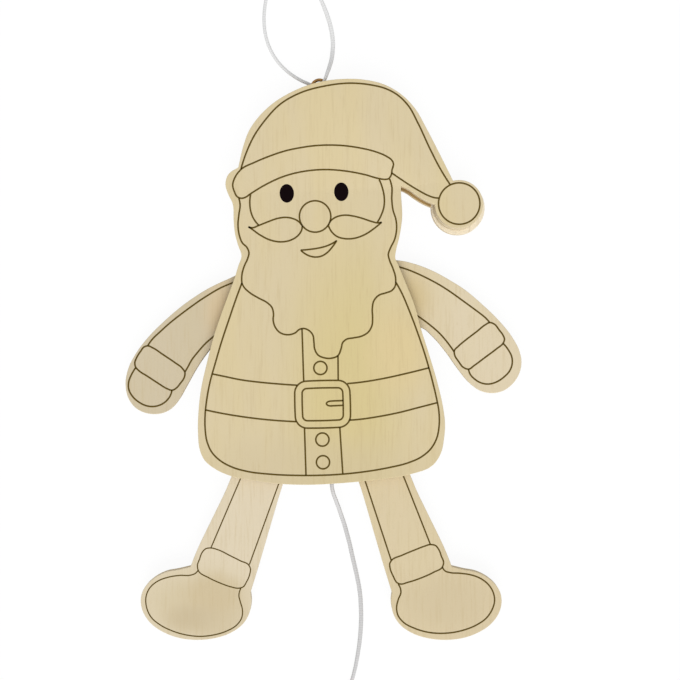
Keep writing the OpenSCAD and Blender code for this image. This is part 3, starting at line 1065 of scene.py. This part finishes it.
@dataclass(frozen=True)
class Eyes:
    """Two solid printed ovals."""

    middles: tuple[Pixel, ...] = ((286.8, 193.4), (341.3, 191.8))
    half_width: float = 3.22
    half_height: float = 4.16
    lean: float = 2.0
    ink_height: float = 0.04
    segments: int = 48

    def build(self, ink: Material) -> Piece:
        """Make both ovals as low islands on the front plate.

        Args:
            ink: their material.

        Returns:
            The printed piece.
        """
        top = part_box("front_plate")[1].z / MM
        shape = bmesh.new()
        for pixel in self.middles:
            place = Matrix.Translation(PHOTOGRAPH.place(pixel, top) * MM)
            turn = Matrix.Rotation(math.radians(self.lean), 4, "Z")
            size = Matrix.Diagonal((self.half_width * MM, self.half_height * MM, 1, 1))
            kept = set(shape.faces)
            bmesh.ops.create_circle(
                shape, cap_ends=True, segments=self.segments, radius=1, matrix=place @ turn @ size
            )
            faces = [f for f in shape.faces if f not in kept]
            raised = bmesh.ops.extrude_face_region(shape, geom=faces)
            points = [v for v in raised["geom"] if isinstance(v, bmesh.types.BMVert)]
            bmesh.ops.translate(shape, verts=points, vec=(0, 0, self.ink_height * MM))
        bmesh.ops.recalc_face_normals(shape, faces=shape.faces)
        mesh = bpy.data.meshes.new("printed_eyes")
        shape.to_mesh(mesh)
        shape.free()
        mesh.materials.append(ink)
        return settle(object_from("printed_eyes", mesh), Body.FIGURE)


# Plywood boards


@dataclass(frozen=True)
class Board:
    """One plywood piece, with its edges sanded and its plies showing round the cut."""

    node: str
    body: Body
    face: PlywoodFinish
    inside: Side = Side.NONE
    edge_break: float = 0.22
    edge_segments: int = 2
    rim_angle: float = 60.0
    rim_step: float = 0.5
    smooth_angle: float = 20.0
    flat_angle: float = 0.5
    weld: float = 0.002
    wall_lean: float = 0.3

    def build(self) -> Piece:
        """Copy the node's mesh, break its rims and dress its faces and edges.

        Returns:
            The dressed board.
        """
        low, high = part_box(self.node)
        shape = bmesh.new()
        shape.from_mesh(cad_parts[self.node].data)
        bmesh.ops.remove_doubles(shape, verts=shape.verts, dist=self.weld * MM)
        flat = math.radians(self.flat_angle)
        bmesh.ops.dissolve_limit(shape, angle_limit=flat, verts=shape.verts, edges=shape.edges)
        rims = [e for e in shape.edges if len(e.link_faces) == 2 and self.is_rim(e)]
        bmesh.ops.bevel(
            shape,
            geom=rims,
            offset=self.edge_break * MM,
            segments=self.edge_segments,
            profile=0.5,
            affect="EDGES",
            clamp_overlap=False,
        )
        for face in shape.faces:
            face.smooth = True
            face.material_index = self.dress_of(face).value
        mesh = bpy.data.meshes.new(self.node + "_sanded")
        shape.to_mesh(mesh)
        shape.free()
        mesh.set_sharp_from_angle(angle=math.radians(self.smooth_angle))
        edge = PlyEdgeFinish(self.node + "_edge", low.z / MM, (high.z - low.z) / MM)
        mesh.materials.append(self.face.build())
        mesh.materials.append(edge.build())
        # the sides inside the figure take the inner finish, whose brown is painted shade
        if self.inside is not Side.NONE:
            mesh.materials.append(INNER_PAINTED_SHADE.build())
        return settle(object_from(self.node + "_sanded", mesh), self.body, [self.node])

    def dress_of(self, face: bmesh.types.BMFace) -> Dress:
        """Choose the finish that a face shows: sanded face, cut edge or inner face with painted shade.

        Args:
            face: a face of the board.

        Returns:
            The finish.
        """
        if abs(face.normal.z) < self.wall_lean:
            return Dress.EDGE
        return Dress.INNER if face.normal.z * self.inside.value > 0 else Dress.FACE

    def is_rim(self, edge: bmesh.types.BMEdge) -> bool:
        """Tell whether an edge lies between a face and the cut round it.

        Args:
            edge: an edge with two faces.

        Returns:
            Whether it is one of the board's rims.
        """
        first, second = (abs(face.normal.z) for face in edge.link_faces)
        steep = edge.calc_face_angle() > math.radians(self.rim_angle)
        return steep and abs(first - second) > self.rim_step


# heights of the printed limbs and of the back plate's inner side
LIMB_TOP = 7.4
BACK_TOP = 3.0

FRONT_PATCHES = (
    # heartwood: a greener strip down the middle, a warmer area beside it and a darker hem
    Patch((347, 400), 36.0, 100.0, "#D7C690"),
    Patch((398, 350), 20.0, 30.0, "#DDC997", 0.9),
    Patch((320, 470), 70.0, 24.0, "#D0C09C", 0.6),
)
# painted shade beside the coat: the warm, yellow-brown cast of the arms where the coat shades them
LEFT_ARM_PAINTED_SHADE = (Patch((226, 312), 14.0, 22.0, "#DCC297", 0.6, LIMB_TOP),)
RIGHT_ARM_PAINTED_SHADE = (Patch((408, 298), 17.0, 20.0, "#D2BD8A", 0.75, LIMB_TOP),)
LEFT_LEG_PATCHES = (
    Patch((192, 603), 36.0, 22.0, "#D5C6A4", 1.0, LIMB_TOP),
    Patch((206, 618), 26.0, 13.0, "#D2C2A0", 1.0, LIMB_TOP),
    Patch((212, 594), 20.0, 12.0, "#CFBD98", 0.8, LIMB_TOP),
    Patch((188, 618), 15.0, 9.0, "#C8B795", 0.6, LIMB_TOP),
)
RIGHT_LEG_PATCHES = (Patch((445, 602), 34.0, 22.0, "#D2C19D", 0.9, LIMB_TOP),)

# the sides that face each other, painted browner than the faces as shade between the plates
# painted light: a pale patch round the pompom, where light from below falls strongly on it
POMPOM_PAINTED_LIGHT = (Patch((458, 207.5), 12.7, 12.7, "#EADFC8", 1.0, BACK_TOP, 0.97),)
INNER_PAINTED_SHADE = PlywoodFinish("inner_plywood_painted_shade", "#B5955F", "#B09056", "#937446", POMPOM_PAINTED_LIGHT, ragged=0.05)


def limb_board(limb: Body, face: str, stripe: str, patches: tuple[Patch, ...]) -> Board:
    """Describe a limb's board, cut from a sheet of its own tone."""
    return Board(limb.value, limb, PlywoodFinish(limb.value + "_plywood", face, stripe, patches=patches))


BOARDS = (
    Board("front_plate", Body.FIGURE, PlywoodFinish("front_plywood", patches=FRONT_PATCHES), Side.LOWER),
    Board("back_plate", Body.FIGURE, PlywoodFinish("back_plywood", face="#D6C49C"), Side.UPPER),
    Board("cap_spacer", Body.FIGURE, PlywoodFinish("cap_spacer_plywood", face="#D3C096")),
    Board("pompom_spacer", Body.FIGURE, PlywoodFinish("pompom_spacer_plywood", face="#D3C096")),
    limb_board(Body.LEFT_ARM, "#D0C2A5", "#CFC09E", LEFT_ARM_PAINTED_SHADE),
    limb_board(Body.RIGHT_ARM, "#DECFB0", "#DCCCA6", RIGHT_ARM_PAINTED_SHADE),
    limb_board(Body.LEFT_LEG, "#DFD1B5", "#DCCEB0", LEFT_LEG_PATCHES),
    limb_board(Body.RIGHT_LEG, "#DAC9A6", "#D8C8A0", RIGHT_LEG_PATCHES),
)


@dataclass(frozen=True)
class Pivots:
    """The turned dowels and the washers on them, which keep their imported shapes."""

    beech: MottledFinish = MottledFinish("turned_beech", "#CDAE80", "#A9855A", 0.35, 3.0, 0.7, 0.6, 0.04)
    fibre: MottledFinish = MottledFinish("pressed_fibre", "#7E5B3D", "#5C402A", 0.3, 0.3, 0.8, 0.8, 0.05)

    def dress(self) -> None:
        """Give each dowel and each washer its finish."""
        finishes = {"_dowel": self.beech.build(), "_washer": self.fibre.build()}
        for name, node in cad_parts.items():
            for ending, material in finishes.items():
                if name.endswith(ending):
                    node.data.materials.clear()
                    node.data.materials.append(material)
                    log.info("%s keeps its shape, in %s", name, material.name)


# Hanging eye, cords and threads


HANGING_LEFT: tuple[Point, ...] = (
    (-1.5, 115.1, 6.2), (-2.1, 115.2, 5.6), (-3.9, 116, 4.6), (-6.4, 117.4, 3.9), (-9.9, 119.3, 2.8),
    (-13.6, 121.8, 1.6), (-17.4, 124.9, 1), (-20.8, 128.5, 0.9), (-23.6, 132.8, 0.9), (-25.6, 137.5, 0.9),
    (-26.8, 142.5, 0.9), (-27.2, 147.5, 0.9), (-27, 152.5, 0.9), (-26.2, 157.6, 0.9), (-24.6, 162.3, 0.9),
    (-22, 166.5, 0.9), (-19, 170.2, 0.9), (-16.5, 174, 1.6), (-15.3, 178, 2.6), (-16.6, 181.8, 1.3),
    (-18.2, 185.5, 0.9),
)
HANGING_RIGHT: tuple[Point, ...] = (
    (-1.5, 115.1, 6.2), (-0.9, 115.3, 6.8), (0.2, 116.6, 7.8), (1.2, 118.8, 8), (2.1, 121.6, 7),
    (3, 125, 4.8), (3.9, 128.8, 2.6), (4.4, 132.9, 1.2), (4.6, 137.5, 0.9), (4, 142.3, 0.9), (2.9, 147, 0.9),
    (1.3, 151.7, 0.9), (-0.7, 156.6, 0.9), (-3, 161.2, 0.9), (-5.6, 165.6, 0.9), (-8.5, 169.8, 0.9),
    (-11.2, 173.9, 1.6), (-12.7, 178, 2.6), (-11.4, 181.8, 1.3), (-9.6, 185.4, 0.9),
)
PULL_TAIL: tuple[Point, ...] = (
    (4, -64.7, 6), (4.6, -69, 5.4), (5.9, -73, 4.2), (7.3, -77, 2.7), (8.5, -80.8, 1.5), (9.8, -84.7, 0.9),
    (11, -89, 0.9), (12.2, -93.5, 0.9), (13.3, -98.5, 0.9), (14.4, -103.2, 0.9), (15.5, -108, 0.9),
    (16.5, -113, 0.9), (17.2, -118, 0.9), (17.5, -123, 0.9), (17.6, -128, 0.9), (17.4, -133, 0.9),
    (17, -138, 0.9), (16.3, -143.2, 0.9), (15.4, -148.4, 0.9), (14.3, -153.4, 0.9), (12.8, -158.2, 0.9),
    (10.6, -162.6, 0.9), (7.6, -166.4, 0.9), (3.8, -169.4, 0.9), (-0.6, -171.6, 0.9), (-5.2, -173.2, 1.2),
    (-9.8, -174.4, 2.3), (-14.4, -175.2, 1.2),
)


def trefoil(middle: Vector, reach: float, rise: float, turn: float) -> list[Vector]:
    """Lay a line in the turns of an overhand knot.

    Args:
        middle: the knot's middle.
        reach: from its middle to the outermost point of the line.
        rise: how far the line goes up and down.
        turn: where its first lobe points, in degrees.

    Returns:
        The points of a closed line.
    """
    count = 60
    line = []
    for i in range(count):
        t = math.tau * i / count
        x = reach / 3 * (math.sin(t) + 2 * math.sin(2 * t))
        y = reach / 3 * (math.cos(t) - 2 * math.cos(2 * t))
        line.append(Vector((x, y, -rise * math.sin(3 * t))))
    spin = Matrix.Rotation(math.radians(turn), 3, "Z")
    return [middle + spin @ p for p in line]


def middle_of(node: str) -> Vector:
    """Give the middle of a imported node's box, in millimetres."""
    low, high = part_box(node)
    return (low + high) / 2 / MM


@dataclass(frozen=True)
class Cord:
    """A braided cord's section: an oval that may turn along its length."""

    width: float
    thickness: float
    lean: float = 0.0
    turn: float = 1000.0
    plait: float = 2.2
    relief: float = 0.06
    step: float = 0.22

    def values(self, material: Material) -> dict:
        """Give the braid tree's inputs.

        Args:
            material: the cord's material.

        Returns:
            The inputs by name, in metres and radians.
        """
        sizes = {"Width": self.width, "Thickness": self.thickness, "Turn": self.turn}
        surface = {"Plait": self.plait, "Relief": self.relief, "Step": self.step}
        lengths = {name: size * MM for name, size in {**sizes, **surface}.items()}
        return {**lengths, "Lean": math.radians(self.lean), "Material": material}


@dataclass
class ScrewEye:
    """The brass eye in the top of the cap: one wire, bent from its shank into a ring."""

    braid: SweepTree
    material: Material
    shank_bend: float = 1.6
    ring_from: float = -58.0
    ring_to: float = 258.0
    ring_points: int = 24
    step: float = 0.2

    def build(self) -> Piece:
        """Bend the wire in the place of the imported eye.

        Returns:
            The bent wire.
        """
        low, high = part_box("screw_eye")
        wire = (high.z - low.z) / MM
        bend = ((high.x - low.x) / MM - wire) / 2
        middle = Vector(((low.x + high.x) / 2, high.y, (low.z + high.z) / 2)) / MM
        middle.y -= bend + wire / 2
        foot = Vector((middle.x, low.y / MM, middle.z))
        neck = Vector((middle.x, middle.y - bend - self.shank_bend, middle.z))
        line = [foot, foot.lerp(neck, 0.5), neck]
        for i in range(self.ring_points + 1):
            a = math.radians(self.ring_from + (self.ring_to - self.ring_from) * i / self.ring_points)
            line.append(middle + bend * Vector((math.cos(a), math.sin(a), 0)))
        section = Cord(wire, wire, relief=0.0, step=self.step)
        bent = flowing(line, Flow.OPEN, section.step)
        piece = self.braid.sweep("screw_eye_wire", [(bent, False)], section.values(self.material))
        return settle(piece, Body.FIGURE, ["screw_eye"])


@dataclass
class HangingLoop:
    """The loop that hangs from the eye: two strands of one cord, closed by a knot."""

    braid: SweepTree
    material: Material
    diameter: float = 1.8
    left: Cord = Cord(2.0, 1.45, 80.0, 900.0)
    right: Cord = Cord(2.0, 1.45, 95.0, -105.0)
    tied: Cord = Cord(1.7, 1.5)
    # reach, rise and turn of each strand in the knot
    knot_turns: tuple[Point, ...] = ((2.5, 1.2, 30.0), (2.1, 1.4, 90.0))

    def build(self) -> None:
        """Tie the knot and lay the two strands."""
        middle = middle_of("hanging_knot")
        turns = [(trefoil(middle, *turn), True) for turn in self.knot_turns]
        knot = self.braid.sweep("hanging_knot_tied", turns, self.tied.values(self.material))
        settle(knot, Body.FIGURE, ["hanging_knot"])
        for name, route, section in (
            ("hanging_cord_left", HANGING_LEFT, self.left),
            ("hanging_cord_right", HANGING_RIGHT, self.right),
        ):
            line = flowing([Vector(p) for p in route], Flow.OPEN, section.step)
            piece = self.braid.sweep(name, [(line, False)], section.values(self.material))
            settle(piece, Body.FIGURE, ["hanging_cord"])


@dataclass
class PullCord:
    """The pull cord and the strings tied to it, which move as one."""

    braid: SweepTree
    cotton: Material
    thread: Material
    diameter: float = 1.8
    tail: Cord = Cord(2.0, 1.45, 50.0, -330.0)
    inner: Cord = Cord(1.8, 1.5)
    tied: Cord = Cord(1.75, 1.5)
    string: Cord = Cord(0.92, 0.92, plait=1.6, relief=0.025, step=0.2)
    flat_string: Cord = Cord(0.8, 0.66, plait=1.6, relief=0.02, step=0.12)
    head: float = 6.0
    wrap_radius: float = 1.5
    wrap_length: float = 2.4
    wrap_turns: int = 3
    wrap_points: int = 16
    wrap_lift: float = 0.2
    bend: float = 1.0
    coil_turns: int = 2
    coil_points: int = 24
    coil_start: float = 0.32
    coil_growth: float = 0.56
    # reach, rise and turn of the knot
    knot_turn: Point = (2.2, 1.05, 10.0)

    def build(self) -> None:
        """Lay the cord, its knot, the cross strings and their knots."""
        knot_at = middle_of("pull_knot")
        turns = [(trefoil(knot_at, *self.knot_turn), True)]
        knot = self.braid.sweep("pull_knot_tied", turns, self.tied.values(self.cotton))
        settle(knot, Body.PULL, ["pull_knot"])
        line = flowing([Vector(p) for p in PULL_TAIL], Flow.OPEN, self.tail.step)
        piece = self.braid.sweep("pull_cord_tail", [(line, False)], self.tail.values(self.cotton))
        settle(piece, Body.PULL, ["pull_tail"])
        self.lay_inner()
        for limb in ("arm", "leg"):
            self.lay_string(limb)
            self.tie(limb)

    def down(self) -> Vector:
        """Find how the hidden part of the cord runs.

        Returns:
            Its direction towards the hem.
        """
        tie = middle_of("arm_tie_knot")
        foot = Vector(PULL_TAIL[0])
        return Vector((foot.x - tie.x, foot.y - tie.y, 0)).normalized()

    def lay_inner(self) -> None:
        """Lay the part of the cord between the plates."""
        foot = Vector(PULL_TAIL[0])
        tie = middle_of("arm_tie_knot")
        head = Vector((tie.x, tie.y, foot.z)) - self.head * self.down()
        line = flowing([head, head.lerp(foot, 0.5), foot], Flow.STRAIGHT, self.inner.step)
        piece = self.braid.sweep("pull_cord_inner", [(line, False)], self.inner.values(self.cotton))
        settle(piece, Body.PULL, ["pull_cord"])

    def lay_string(self, limb: str) -> None:
        """Lay one cross string from limb to limb over its tie, with a flat knot behind each limb.

        Args:
            limb: arm or leg.
        """
        tie = middle_of(limb + "_tie_knot")
        low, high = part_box(limb + "_string")
        top = high.z / MM - self.string.width / 2
        ends = [middle_of(f"{side}_{limb}_string_knot") for side in ("left", "right")]
        runs = []
        for end in ends:
            inward = Vector((tie.x - end.x, tie.y - end.y, 0)).normalized()
            foot = Vector((end.x, end.y, low.z / MM + self.string.width / 2))
            rise = Vector((end.x, end.y, top - self.bend))
            runs.append([foot, rise, Vector((end.x, end.y, top)) + self.bend * inward])
        points = runs[0] + [Vector((tie.x, tie.y, top))] + runs[1][::-1]
        line = flowing(points, Flow.OPEN, self.string.step)
        piece = self.braid.sweep(limb + "_thread", [(line, False)], self.string.values(self.thread))
        settle(piece, Body.PULL, [limb + "_string"])
        for side, end in zip(("left", "right"), ends):
            coil = []
            for i in range(self.coil_points + 1):
                share = i / self.coil_points
                a = math.tau * self.coil_turns * share
                radius = self.coil_start + self.coil_growth * share
                coil.append(end + radius * Vector((math.cos(a), math.sin(a), 0)))
            name = f"{side}_{limb}_string_knot"
            knot = self.braid.sweep(name + "_tied", [(coil, False)], self.flat_string.values(self.thread))
            settle(knot, Body.PULL, [name])

    def tie(self, limb: str) -> None:
        """Wrap a tie round the pull cord where a cross string meets it.

        Args:
            limb: arm or leg.
        """
        node = limb + "_tie_knot"
        middle = middle_of(node)
        middle.z = PULL_TAIL[0][2] + self.wrap_lift
        down = self.down()
        aside = Vector((-down.y, down.x, 0))
        wrap = []
        count = self.wrap_points * self.wrap_turns
        for i in range(count + 1):
            a = math.tau * self.wrap_turns * i / count
            along = self.wrap_length * (i / count - 0.5)
            round_it = math.cos(a) * aside + math.sin(a) * Vector((0, 0, 1))
            wrap.append(middle + along * down + self.wrap_radius * round_it)
        piece = self.braid.sweep(node + "_tied", [(wrap, False)], self.string.values(self.thread))
        settle(piece, Body.PULL, [node])


# Studio


@dataclass(frozen=True)
class Studio:
    """A pale floor, an even soft light and the camera straight above."""

    photograph: Photograph = PHOTOGRAPH
    sensor: float = 36.0
    floor_side: float = 12.0
    floor_drop: float = 0.12
    floor_colour: str = "#EDEDED"
    # just past white, so that grain in the render can't grey it
    floor_white: float = 1.01
    shadow_share: float = 0.08
    dome_light: float = 0.55
    key_light: float = 0.45
    key_lean: float = 45.0
    key_from: float = -85.0
    key_spread: float = 50.0
    clip_near: float = 10.0
    clip_far: float = 100000.0

    def build(self) -> None:
        """Set the view, the camera, the light and the floor."""
        bpy.context.scene.view_settings.view_transform = "Standard"
        self.set_camera()
        self.set_light()
        self.lay_floor()

    def set_camera(self) -> None:
        """Look straight down from the photograph's lens."""
        shot = self.photograph
        half_view = shot.side_px / 2 * shot.mm_per_px
        camera = bpy.data.cameras.new("camera")
        camera.sensor_width = self.sensor
        camera.lens = self.sensor / 2 * (shot.lens_height - shot.front_height) / half_view
        camera.clip_start = self.clip_near * MM
        camera.clip_end = self.clip_far * MM
        holder = bpy.data.objects.new("camera", camera)
        holder.location = Vector((shot.lens_x, shot.lens_y, shot.lens_height)) * MM
        bpy.context.scene.collection.objects.link(holder)
        bpy.context.scene.camera = holder

    def set_light(self) -> None:
        """Light from an even dome and one wide soft lamp below the feet."""
        world = bpy.data.worlds.new("studio")
        world.use_nodes = True
        bpy.context.scene.world = world
        tree = world.node_tree
        tree.nodes.clear()
        level = {"Value": seen_directly(tree), "To Min": self.dome_light, "To Max": 1.0}
        strength = add(tree, "ShaderNodeMapRange", level).outputs["Result"]
        sky = add(tree, "ShaderNodeBackground", {"Color": linear("#FFFFFF"), "Strength": strength})
        add(tree, "ShaderNodeOutputWorld", {"Surface": sky.outputs[0]})
        lean = math.radians(self.key_lean)
        lamp = bpy.data.lights.new("key", "SUN")
        lamp.energy = self.key_light * math.pi / math.cos(lean)
        lamp.angle = math.radians(self.key_spread)
        holder = bpy.data.objects.new("key", lamp)
        side = Matrix.Rotation(math.radians(self.key_from), 4, "Z")
        holder.matrix_world = side @ Matrix.Rotation(lean, 4, "Y")
        bpy.context.scene.collection.objects.link(holder)

    def lay_floor(self) -> None:
        """Lay a wide floor that looks white and keeps the figure's shadow."""
        material, tree = new_material("paper_floor")
        matte = add(tree, "ShaderNodeBsdfDiffuse", {"Color": linear(self.floor_colour)})
        soft = add(tree, "ShaderNodeBsdfDiffuse", {"Color": (self.shadow_share,) * 3 + (1,)})
        glow = add(tree, "ShaderNodeEmission", {"Strength": self.floor_white - self.shadow_share})
        shown = add(tree, "ShaderNodeAddShader", {0: soft.outputs[0], 1: glow.outputs[0]})
        looks = {0: seen_directly(tree), 1: matte.outputs[0], 2: shown.outputs[0]}
        mix = add(tree, "ShaderNodeMixShader", looks)
        add(tree, "ShaderNodeOutputMaterial", {"Surface": mix.outputs[0]})
        half = self.floor_side / 2
        drop = -self.floor_drop * MM
        corners = [(-half, -half, drop), (half, -half, drop), (half, half, drop), (-half, half, drop)]
        mesh = bpy.data.meshes.new("floor")
        mesh.from_pydata(corners, [], [(0, 1, 2, 3)])
        mesh.materials.append(material)
        object_from("floor", mesh)


def main() -> None:
    """Build the studio, then the figure piece by piece."""
    logging.basicConfig(level=logging.INFO, format="%(name)s: %(message)s")
    Studio().build()
    ribbon = ribbon_tree()
    braid = braid_tree()
    cotton = BraidFinish("braided_cotton", "#D5D4D4", "#C5C4C4").build()
    thread = BraidFinish("cotton_thread", "#E2DED2", "#C6C0B0").build()
    # the loop's cotton is the pull cord's, painted lighter to make up for the cap's shadow on it
    HangingLoop(braid, BraidFinish("loop_cotton_painted_light", "#E8E8E8", "#D9D9D9").build()).build()
    PullCord(braid, cotton, thread).build()
    ScrewEye(braid, BrassFinish("brass_wire").build()).build()
    for board in BOARDS:
        board.build()
    Pivots().dress()
    ink = MottledFinish("printing_ink", "#5E4C1C", "#705D2A", 0.6, 0.6, 0.5, 0.8, gloss=0.08).build()
    for drawing in DRAWINGS:
        drawing.print_lines(ribbon, ink)
    Eyes().build(MottledFinish("solid_ink", "#0D0406", "#170C0F", 0.6, 0.6, 0.5, 0.7, gloss=0.03).build())


if __name__ == "__main__":
    main()
